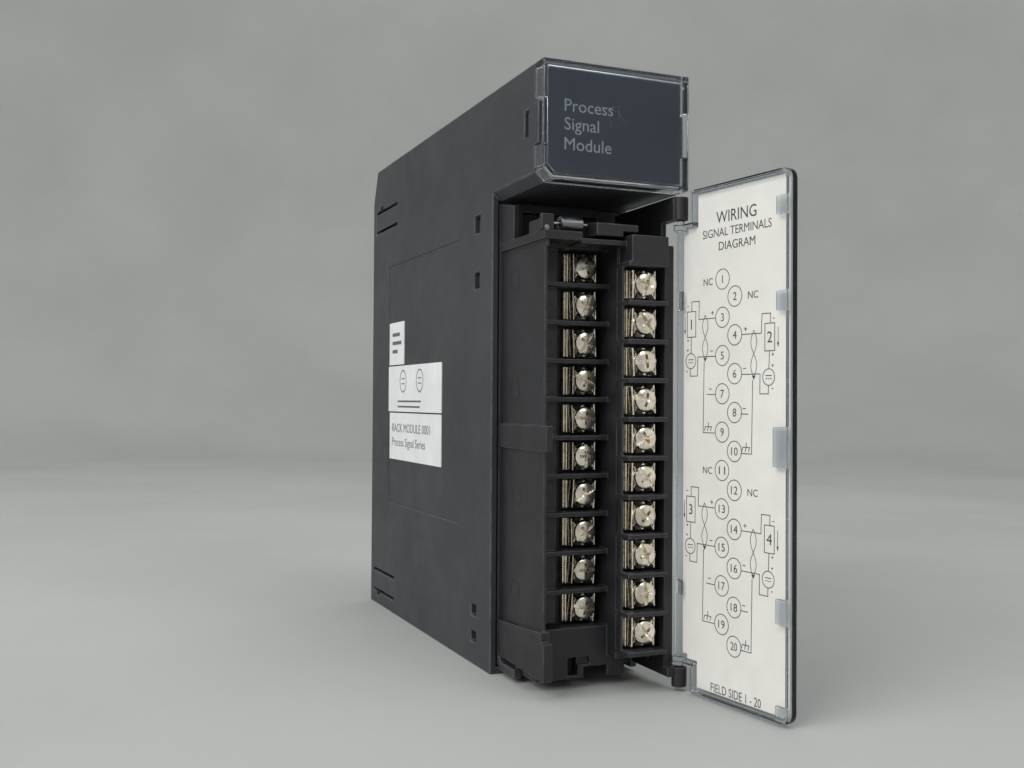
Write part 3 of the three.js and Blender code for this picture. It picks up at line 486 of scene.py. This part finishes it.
# ---- shells -------------------------------------------------------------------------------------
EDGE_RADIUS_MM = {
    "housing_shell": 0.35,
    "front_bezel": 0.3,
    "rear_cap": 0.3,
    "release_lever": 0.3,
    "terminal_block_housing": 0.22,
    "terminal_block_socket": 0.3,
    "terminal_header": 0.3,
    "backplane_connector": 0.3,
    "pull_tab": 0.2,
    "jacking_lever": 0.3,
    "door_cover": 0.25,
    "lens_cover": 0.3,
    "lens_insert": 0.12,
    "pull_tab_rivet": 0.2,
    "roller_pin": 0.1,
    "latch_roller": 0.15,
    "lever_pivot_pin": 0.2,
    "circuit_board": 0.1,
    "indicator_board": 0.1,
    "processor_chip": 0.3,
    "output_driver_chip": 0.3,
    "supply_capacitor": 0.6,
    "status_led_upper": 0.3,
    "status_led_lower": 0.3,
    **{f"isolation_transformer_{channel}": 0.3 for channel in range(1, 5)},
}
for node, width in EDGE_RADIUS_MM.items():
    refine(node, width, ROLLER_STEEL if node == "latch_roller" else None)
for node in ("side_label_small", "side_label_upper", "side_label_lower", "door_label"):
    nodes[node].data.materials.clear()
    nodes[node].data.materials.append(MATERIALS[slot_of[node]])


# ---- terminals ----------------------------------------------------------------------------------
# Terminal meshes are drawn about the screw axis on the deck: x right, d out of the deck, z up.
def outward(x, z, d):
    return (x * MM, -d * MM, z * MM)


CONTACT_SECTION = [
    (-4.3, 0.3),
    (3.1, 0.3),
    (3.1, 0.9),
    (-3.4, 0.9),
    (-3.45, 1.75),
    (-3.75, 1.75),
    (-3.8, 0.9),
    (-3.98, 0.9),
    (-4.0, 1.35),
    (-4.28, 1.35),
]


def contact_mesh():
    """The contact plate, folded up into two combs at its left end."""

    def fill(bm):
        add_prism(bm, CONTACT_SECTION, -3.0, 3.0, lambda x, d, z: outward(x, z, d))

    return rounded(build("contact", fill), "contact", 0.1, False)


CLAMP_LEFT = -3.3
CLAMP_SIZE = 6.0
CLAMP_THICK = 0.5
CLAMP_TOP = 2.6
CLAMP_WING = 2.3  # distance from the screw axis at which the curled edges begin


def clamp_height(x, z):
    """Height of the clamp plate's upper face above the deck."""
    side = abs(x)
    if side > CLAMP_WING:
        t = side - CLAMP_WING
        curl = 0.32 * math.sin(math.pi * min(t * 1.35, 1))
        return CLAMP_TOP + curl - 1.3 * max(0.0, t - 0.55) ** 1.5 / 0.3
    fold = abs(z) - 1.55 - 1.05 * abs(side - 1.45)
    return CLAMP_TOP - 0.75 * max(0.0, fold)


def clamp_mesh():
    """The square plate under a screw head, curled at two sides and folded down at the corners."""
    columns, rows = 44, 30

    def fill(bm):
        layers = []
        for thick in (0.0, CLAMP_THICK):
            grid = []
            for i in range(columns + 1):
                x = CLAMP_LEFT + CLAMP_SIZE * i / columns
                line = []
                for j in range(rows + 1):
                    z = CLAMP_SIZE * (j / rows - 0.5)
                    line.append(bm.verts.new(outward(x, z, clamp_height(x, z) - thick)))
                grid.append(line)
            layers.append(grid)
        for grid in layers:
            for i in range(columns):
                for j in range(rows):
                    bm.faces.new([grid[i][j], grid[i + 1][j], grid[i + 1][j + 1], grid[i][j + 1]])
        rim = [(i, 0) for i in range(columns)] + [(columns, j) for j in range(rows)]
        rim += [(columns - i, rows) for i in range(columns)] + [(0, rows - j) for j in range(rows)]
        top, under = layers
        for k, (i, j) in enumerate(rim):
            m, n = rim[(k + 1) % len(rim)]
            bm.faces.new([top[i][j], top[m][n], under[m][n], under[i][j]])

    return rounded(build("clamp", fill), "clamp", 0.08, False, 1)


HEAD_PROFILE = [
    (0, 2.5),
    (2.35, 2.5),
    (2.52, 2.62),
    (2.58, 3.0),
    (2.54, 3.45),
    (2.38, 3.75),
    (2.0, 3.95),
    (1.3, 4.08),
    (0.6, 4.14),
    (0, 4.15),
]
THREAD_PITCH = 0.6
THREAD_ROOT = 1.04
THREAD_CREST = 1.22


def lathe(bm, profile, steps, turn):
    """A turned body from (radius, height) points; turn(u, v, w) gives the point for each corner."""
    rings = []
    for radius, height in profile:
        if radius == 0:
            rings.append([bm.verts.new(turn(0, 0, height))])
            continue
        ring = []
        for k in range(steps):
            a = 2 * math.pi * k / steps
            ring.append(bm.verts.new(turn(radius * math.cos(a), radius * math.sin(a), height)))
        rings.append(ring)
    for a, b in zip(rings, rings[1:]):
        for k in range(steps):
            n = (k + 1) % steps
            corners = [a[k % len(a)], b[k % len(b)], b[n % len(b)], a[n % len(a)]]
            bm.faces.new(list(dict.fromkeys(corners)))


def cross_recess(bm):
    """A tapered four-winged driver recess."""
    rings = []
    for d, reach, half in ((4.4, 1.75, 0.34), (3.1, 0.75, 0.2)):
        corners = []
        for k in range(4):
            c, s = math.cos(k * math.pi / 2), math.sin(k * math.pi / 2)
            for u, v in ((half, half), (reach, half), (reach, -half)):
                corners.append((u * c + v * s, u * s - v * c))
        order = sorted(range(12), key=lambda i: math.atan2(corners[i][1], corners[i][0]))
        rings.append([bm.verts.new(outward(corners[i][0], corners[i][1], d)) for i in order])
    top, low = rings
    bm.faces.new(top)
    bm.faces.new(list(reversed(low)))
    for i in range(12):
        j = (i + 1) % 12
        bm.faces.new([top[i], low[i], low[j], top[j]])


def slot_cut(bm):
    """The straight slot across the head."""
    outline = [(-3, -0.36), (3, -0.36), (3, 0.36), (-3, 0.36)]
    add_prism(bm, outline, 3.5, 4.6, outward)


def thread(bm):
    """A threaded shank whose radius follows the helix."""
    steps, turns = 18, 9
    rows = turns * 6
    rings = []
    for j in range(rows + 1):
        d = 2.55 - turns * THREAD_PITCH * j / rows
        ring = []
        for k in range(steps):
            a = 2 * math.pi * k / steps
            phase = (d / THREAD_PITCH + k / steps) % 1
            flank = THREAD_ROOT + 0.36 * (1 - abs(2 * phase - 1))
            radius = min(flank, THREAD_CREST)
            ring.append(bm.verts.new(outward(radius * math.cos(a), radius * math.sin(a), d)))
        rings.append(ring)
    for a, b in zip(rings, rings[1:]):
        for k in range(steps):
            n = (k + 1) % steps
            bm.faces.new([a[k], a[n], b[n], b[k]])
    bm.faces.new(rings[0])
    bm.faces.new(list(reversed(rings[-1])))


def screw_mesh():
    """A low domed screw head with a combined slot and cross recess, on a threaded shank."""

    def blank(bm):
        lathe(bm, HEAD_PROFILE, 48, outward)

    head = bpy.data.objects.new("head_blank", build("head", blank))
    scene.collection.objects.link(head)
    tools = []
    for fill in (cross_recess, slot_cut):
        tool = bpy.data.objects.new("head_tool", build("tool", fill))
        scene.collection.objects.link(tool)
        cut = head.modifiers.new("cut", "BOOLEAN")
        cut.operation = "DIFFERENCE"
        cut.solver = "EXACT"
        cut.object = tool
        tools.append(tool)
    whole = evaluated(head)
    for used in (head, *tools):
        bpy.data.objects.remove(used)
    bm = bmesh.new()
    bm.from_mesh(whole)
    thread(bm)
    bmesh.ops.recalc_face_normals(bm, faces=bm.faces)
    bm.to_mesh(whole)
    bm.free()
    return rounded(whole, "screw", 0.07, False)


SCREW_FROM_LEFT = 4.3 * MM
DECK_FROM_BACK = 3 * MM


def terminals():
    """A contact plate, a clamp plate and a screw for each terminal, each screw turned its own way."""
    metal = MATERIALS["terminal_nickel"]
    contact, clamp, screw = contact_mesh(), clamp_mesh(), screw_mesh()
    turn = random.Random(11)
    for number in range(1, 21):
        node = f"terminal_{number:02d}"
        low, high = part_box(node)
        axis = Vector((low.x + SCREW_FROM_LEFT, high.y - DECK_FROM_BACK, (low.z + high.z) / 2))
        place = Matrix.Translation(axis)
        tag = f"{number:02d}"
        tilt = Matrix.Rotation(math.radians(turn.uniform(-4, 4)), 4, "Y")
        lean = Matrix.Rotation(math.radians(turn.uniform(-2.2, 2.2)), 4, "Z")
        spin = Matrix.Rotation(math.radians(turn.uniform(0, 180)), 4, "Y")
        piece("contact_" + tag, contact, metal, "terminal_block", place)
        piece("clamp_" + tag, clamp, metal, "terminal_block", place @ tilt @ lean)
        piece("screw_" + tag, screw, metal, "terminal_block", place @ spin, [node])


terminals()


# ---- printed art --------------------------------------------------------------------------------
class Art:
    """Flat printing, drawn in millimetres on a plane and kept as thin closed solids."""

    def __init__(self, thick=0.02):
        self.bm = bmesh.new()
        self.thick = thick
        self.level = 0

    def turn(self, u, v, w):
        return (u * MM, v * MM, w * MM)

    def top(self):
        self.level += 1
        return self.thick + 0.0004 * (self.level % 12)

    def fill(self, outline):
        add_prism(self.bm, outline, 0, self.top(), self.turn)

    def line(self, points, width, closed=False):
        """A ribbon of constant width with mitred corners."""
        top = self.top()
        count = len(points)
        rails = []
        for i in range(count):
            here = Vector(points[i])
            before = Vector(points[i - 1]) if i or closed else None
            after = Vector(points[(i + 1) % count]) if i < count - 1 or closed else None
            ways = []
            if before:
                ways.append((here - before).normalized())
            if after:
                ways.append((after - here).normalized())
            normals = [Vector((-way.y, way.x)) for way in ways]
            side = sum(normals, Vector((0, 0)))
            side = side / max(side.length_squared / len(normals), 0.3)
            side = side * (width / 2)
            corners = []
            for sign, level in ((1, top), (-1, top), (-1, 0), (1, 0)):
                p = here + sign * side
                corners.append(self.bm.verts.new(self.turn(p.x, p.y, level)))
            rails.append(corners)
        pairs = list(zip(rails, rails[1:]))
        if closed:
            pairs.append((rails[-1], rails[0]))
        for a, b in pairs:
            for k in range(4):
                n = (k + 1) % 4
                self.bm.faces.new([a[k], a[n], b[n], b[k]])
        if not closed:
            self.bm.faces.new(rails[0])
            self.bm.faces.new(list(reversed(rails[-1])))

    def ring(self, centre, radius, width, steps=40, tall=None):
        """A circle, or an ellipse if a second radius is given."""
        points = []
        for k in range(steps):
            a = 2 * math.pi * k / steps
            u = centre[0] + radius * math.cos(a)
            v = centre[1] + (tall or radius) * math.sin(a)
            points.append((u, v))
        self.line(points, width, True)

    def text(self, words, centre, cap, width=None, left=False):
        """Words of a given capital height, centred or from a left edge, fitted to a width if given."""
        corners, faces = glyphs(words)
        us = [corner[0] for corner in corners]
        first, last = min(us), max(us)
        sy = cap / CAPITAL_HEIGHT
        sx = width / (last - first) if width else sy
        shift = centre[0] - (first * sx if left else (first + last) / 2 * sx)
        drop = centre[1] - cap / 2
        top = self.top()
        made = []
        for u, v, w in corners:
            made.append(self.bm.verts.new(self.turn(u * sx + shift, v * sy + drop, top if w > 0 else 0)))
        for face in faces:
            self.bm.faces.new([made[i] for i in face])

    def done(self, name, material, body, slot, place):
        bmesh.ops.remove_doubles(self.bm, verts=self.bm.verts, dist=1e-8)
        bmesh.ops.recalc_face_normals(self.bm, faces=self.bm.faces)
        mesh = bpy.data.meshes.new(name)
        self.bm.to_mesh(mesh)
        self.bm.free()
        piece(name, mesh, material, body, place)


def glyphs(words):
    """Corners and faces of a solid text, one unit to a text size."""
    curve = bpy.data.curves.new("letters", "FONT")
    curve.body = words
    curve.extrude = 0.02
    curve.resolution_u = 3
    holder = bpy.data.objects.new("letters", curve)
    scene.collection.objects.link(holder)
    mesh = evaluated(holder)
    bpy.data.objects.remove(holder)
    bm = bmesh.new()
    bm.from_mesh(mesh)
    bmesh.ops.remove_doubles(bm, verts=bm.verts, dist=1e-5)
    bm.verts.index_update()
    corners = [tuple(v.co) for v in bm.verts]
    faces = [[v.index for v in f.verts] for f in bm.faces]
    bm.free()
    bpy.data.meshes.remove(mesh)
    return corners, faces


def capital_height():
    """Height of a capital letter at text size 1."""
    vs = [corner[1] for corner in glyphs("H")[0]]
    return max(vs) - min(vs)


CAPITAL_HEIGHT = capital_height()

# Door label: u runs from the hinge side outward, v is the height.
hinge = joints["door_swing"]
door_turn = math.radians(-hinge["range_deg"][0])
door_frame = Matrix.Translation(hinge["pos_m"]) @ Matrix.Rotation(door_turn, 4, "Z")
door_frame.translation.z = 0
LABEL_FACE = Matrix(((-1, 0, 0, -3.5 * MM), (0, 0, 1, -0.95 * MM), (0, 1, 0, 0), (0, 0, 0, 1)))
LINE = 0.17
ROWS = 10
ROW_PITCH = 7.76
HALF_LABEL = 5 * ROW_PITCH


def twisted(art, u, top, low, half):
    """A twisted pair as a figure of eight, with a filled arrowhead under it."""
    steps = 18
    for side in (-1, 1):
        points = []
        for i in range(steps + 1):
            t = i / steps
            points.append((u + side * half * math.sin(2 * math.pi * t), top + (low - top) * t))
        art.line(points, LINE * 0.85)
    art.fill([(u - 0.5, low + 0.35), (u, low - 0.55), (u + 0.5, low + 0.35)])


def sign(art, u, v, plus, size=0.85):
    """A minus sign, or a plus sign."""
    art.line([(u - size / 2, v), (u + size / 2, v)], LINE)
    if plus:
        art.line([(u, v - size / 2), (u, v + size / 2)], LINE)


def arrow(art, u, top, low):
    """An arrow that points down."""
    art.line([(u, top), (u, low)], LINE * 0.8)
    art.fill([(u - 0.28, low + 0.7), (u + 0.28, low + 0.7), (u, low - 0.25)])


def earth(art, u, v):
    """A frame-ground symbol: a stem on a bar with three slanted ticks."""
    art.line([(u, v + 0.95), (u, v)], LINE)
    art.line([(u - 1.05, v), (u + 1.05, v)], LINE)
    for step in (-1, 0, 1):
        art.line([(u + step * 0.95, v), (u + step * 0.95 - 0.3, v - 0.85)], LINE)


def source(art, u, v, r=1.6):
    """A direct-current supply: a circle with a bar over a broken bar."""
    art.ring((u, v), r, LINE)
    art.line([(u - 0.85, v + 0.3), (u + 0.85, v + 0.3)], LINE)
    for step in (-1, 0, 1):
        art.line([(u + step * 0.62 - 0.2, v - 0.3), (u + step * 0.62 + 0.2, v - 0.3)], LINE)


def box_outline(art, left, right, top, low):
    art.line([(left, top), (right, top), (right, low), (left, low)], LINE, True)


def wiring(art, drop, first):
    """The wiring of two channels, beside terminals 1 to 10 or 11 to 20."""

    def path(*points):
        art.line([(u, v - drop) for u, v in points], LINE)

    box_outline(art, -2.35, 0.4, 79.8 - drop, 74.45 - drop)
    art.text(str(first), (-1.0, 77.1 - drop), 2.1)
    path((-0.9, 79.8), (-0.9, 81.85), (1.5, 81.85), (1.4, 78.03), (6.6, 78.03))
    sign(art, -2.1, 80.95 - drop, False, 0.5)
    sign(art, 5.6, 79.15 - drop, True)
    twisted(art, 3.4, 78.8 - drop, 69.6 - drop, 0.85)
    path((-1.0, 74.45), (-1.05, 71.0))
    sign(art, -2.05, 73.75 - drop, True, 0.5)
    sign(art, -2.15, 71.7 - drop, True, 0.5)
    source(art, -1.15, 69.4 - drop)
    path((-1.25, 67.8), (-1.3, 66.25), (1.0, 66.25), (1.1, 70.2), (6.5, 70.2))
    sign(art, -2.4, 67.2 - drop, False, 0.5)
    sign(art, 5.4, 71.3 - drop, False)
    arrow(art, -3.05, 78.9 - drop, 75.3 - drop)
    path((3.1, 69.2), (2.85, 54.5), (6.4, 54.5))
    path((4.0, 62.4), (6.5, 62.4))
    sign(art, 5.0, 63.5 - drop, False)
    earth(art, 4.5, 55.75 - drop)

    box_outline(art, 20.8, 23.45, 76.05 - drop, 70.75 - drop)
    art.text(str(first + 1), (22.1, 73.4 - drop), 2.1)
    path((14.5, 74.25), (19.85, 74.25), (20.0, 78.0), (22.3, 78.0), (22.25, 76.05))
    sign(art, 23.2, 76.95 - drop, False, 0.5)
    sign(art, 15.4, 75.3 - drop, True)
    twisted(art, 17.75, 74.95 - drop, 65.7 - drop, 0.82)
    path((22.05, 70.75), (21.9, 67.3))
    sign(art, 22.95, 70.05 - drop, True, 0.5)
    sign(art, 22.9, 67.95 - drop, True, 0.5)
    source(art, 21.85, 65.7 - drop)
    path((21.8, 64.1), (21.75, 62.47), (19.45, 62.47), (19.5, 66.35), (14.3, 66.35))
    sign(art, 22.85, 63.5 - drop, False, 0.5)
    sign(art, 15.15, 67.5 - drop, False)
    arrow(art, 24.35, 75.3 - drop, 71.6 - drop)
    path((17.45, 65.2), (17.2, 50.7), (14.1, 50.7))
    path((14.1, 58.5), (16.3, 58.5))
    sign(art, 15.1, 59.6 - drop, False)
    earth(art, 15.7, 51.95 - drop)


def door_print():
    """The wiring diagram: headings, twenty numbered circles and the wiring of four channels."""
    art = Art()
    art.text("WIRING", (12.55, 98.5), 2.35, 11.7)
    art.text("SIGNAL TERMINALS", (12.56, 95.45), 1.7, 20.0)
    art.text("DIAGRAM", (12.8, 92.6), 1.7, 10.6)
    art.text("FIELD SIDE 1 - 20", (12.7, 2.7), 1.75, 14.5)
    for i in range(ROWS):
        odd = (8.65, 85.8 - ROW_PITCH * i)
        even = (12.3, 82.05 - ROW_PITCH * i)
        for centre, number in ((odd, 2 * i + 1), (even, 2 * i + 2)):
            art.ring(centre, 2.05, LINE)
            art.text(str(number), centre, 1.6, 1.9 if number > 9 else None)
    for drop, first in ((0, 1), (HALF_LABEL, 3)):
        art.text("NC", (4.25, 85.6 - drop), 1.4, 2.8)
        art.text("NC", (17.5, 81.95 - drop), 1.4, 2.8)
        wiring(art, drop, first)
    art.done("door_wiring_print", PRINT_BLACK, "door", "door_label", door_frame @ LABEL_FACE)


door_print()


# ---- moulded marks on the block -----------------------------------------------------------------
LEDGE_Y = -65.05 * MM
WALL_RECESS = 0.8 * MM


def moulded_marks():
    """Round ejector marks on the left wall, and raised terminal numbers, turned, on the ledge."""
    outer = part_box("terminal_block_housing")[0].x
    wall = Matrix(((0, 0, -1, outer + WALL_RECESS), (-1, 0, 0, 0), (0, 1, 0, 0), (0, 0, 0, 1)))
    art = Art(0.05)
    for u, v in ((56.5, 87.1), (56.9, 63.2), (58.3, 40.6), (57.5, 20)):
        art.ring((u, v), 2.3, 0.28)
    plastic = MATERIALS["block_plastic"]
    art.done("block_ejector_marks", plastic, "terminal_block", "block_plastic", wall)
    ledge = Matrix(((0, -1, 0, 0), (0, 0, -1, LEDGE_Y), (1, 0, 0, 0), (0, 0, 0, 1)))
    art = Art(0.12)
    for i in range(ROWS):
        number = 2 * i + 1
        low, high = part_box(f"terminal_{number:02d}")
        art.text(str(number), ((low.z + high.z) / 2 / MM, 10.6), 1.5)
    art.done("block_ledge_numbers", plastic, "terminal_block", "block_plastic", ledge)


moulded_marks()


# ---- text on the lens insert --------------------------------------------------------------------
def front_print():
    """Three generic words on the plate behind the lens."""
    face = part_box("lens_insert")[0].y
    place = Matrix(((1, 0, 0, 0), (0, 0, -1, face), (0, 1, 0, 0), (0, 0, 0, 1)))
    art = Art()
    for words, middle in (("Process", 121.15), ("Signal", 117.35), ("Module", 113.25)):
        art.text(words, (-11.8, middle), 2.5, None, True)
    art.done("lens_insert_print", PRINT_LIGHT, "module", "insert_plastic", place)


front_print()


# ---- side labels --------------------------------------------------------------------------------
def side_print():
    """Plain bars, shapes and generic words on the three side labels."""
    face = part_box("side_label_upper")[0].x
    place = Matrix(((0, 0, -1, face), (-1, 0, 0, 0), (0, 1, 0, 0), (0, 0, 0, 1)))

    def edges(node):
        low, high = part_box(node)
        return -high.y / MM, -low.y / MM, low.z / MM, high.z / MM

    def bar(u, v, length, width):
        art.line([(u, v), (u + length, v)], width)

    art = Art()
    left, right, base, top = edges("side_label_upper")
    for share in (0.3, 0.62):
        u, v = left + (right - left) * share, base + (top - base) * 0.66
        art.ring((u, v), 2.9, 0.35, 32, 3.0)
        for rise in (0.7, -0.7):
            bar(u - 1.5, v + rise, 3.0, 0.3)
    for level, length in ((2.9, 21), (1.4, 20)):
        bar(left + 9, base + level, length, 0.5)
    left, _, base, _ = edges("side_label_lower")
    art.text("RACK MODULE 0001", (left + 2.5, base + 9), 2.3, 34, True)
    art.text("Process Signal Series", (left + 2.5, base + 5), 2.3, 30, True)
    left, _, base, _ = edges("side_label_small")
    for level, length in ((8.6, 7), (6.2, 8.4), (3.8, 5)):
        bar(left + 3, base + level, length, 1)
    art.done("side_label_print", PRINT_DARK, "module", "side_label", place)


side_print()


# ---- stage --------------------------------------------------------------------------------------
FLOOR_RADIUS = 0.85
BEND = 0.45
BEND_STEPS = 12
WALL_TOP = 1.0


def sweep():
    """A round pale floor that curves up into its backdrop."""
    profile = [(0.0, 0.0), (0.4, 0.0), (FLOOR_RADIUS, 0.0)]
    for k in range(1, BEND_STEPS + 1):
        a = math.pi / 2 * k / BEND_STEPS
        profile.append((FLOOR_RADIUS + BEND * math.sin(a), BEND - BEND * math.cos(a)))
    profile.append((FLOOR_RADIUS + BEND, WALL_TOP))
    mesh = bpy.data.meshes.new("floor")
    bm = bmesh.new()
    lathe(bm, profile, 96, lambda x, y, z: (x, y, z))
    for face in bm.faces:
        face.smooth = True
    bm.to_mesh(mesh)
    bm.free()
    g = Graph("floor")
    tone = g.blend(g.fit(g.noise(6, 4), 0.35, 0.65, 0, 1), srgb(164, 166, 163), srgb(171, 173, 170))
    mesh.materials.append(g.finish(
        Base_Color=tone,
        Roughness=g.fit(g.noise(40, 3), 0.3, 0.7, 0.7, 0.85),
        Normal=g.bump(g.noise(350, 3), 0.1, 0.15),
    ))
    floor = bpy.data.objects.new("floor", mesh)
    scene.collection.objects.link(floor)


def softbox(name, place, aim, width, height, power):
    """A white rectangular area light."""
    light = bpy.data.lights.new(name, "AREA")
    light.shape = "RECTANGLE"
    light.size = width
    light.size_y = height
    light.energy = power
    made = bpy.data.objects.new(name, light)
    scene.collection.objects.link(made)
    made.location = place
    made.rotation_euler = (Vector(aim) - Vector(place)).to_track_quat("-Z", "Y").to_euler()


sweep()
softbox("overhead", (0, -0.1, 1.5), (0, 0, 0.05), 1.5, 1.5, 12)
softbox("left_fill", (-1.0, -0.4, 0.75), (0, 0, 0.06), 1.0, 0.9, 13)
softbox("front_strip", (0.35, -1.0, 0.8), (0, -0.05, 0.08), 0.7, 0.35, 2.6)
softbox("front_right", (0.62, -1.1, 0.09), (0, -0.05, 0.06), 0.6, 0.15, 1.8)
world = bpy.data.worlds.new("room")
world.use_nodes = True
world.node_tree.nodes["Background"].inputs["Color"].default_value = (0.93, 0.97, 1.0, 1)
world.node_tree.nodes["Background"].inputs["Strength"].default_value = 0.3
scene.world = world
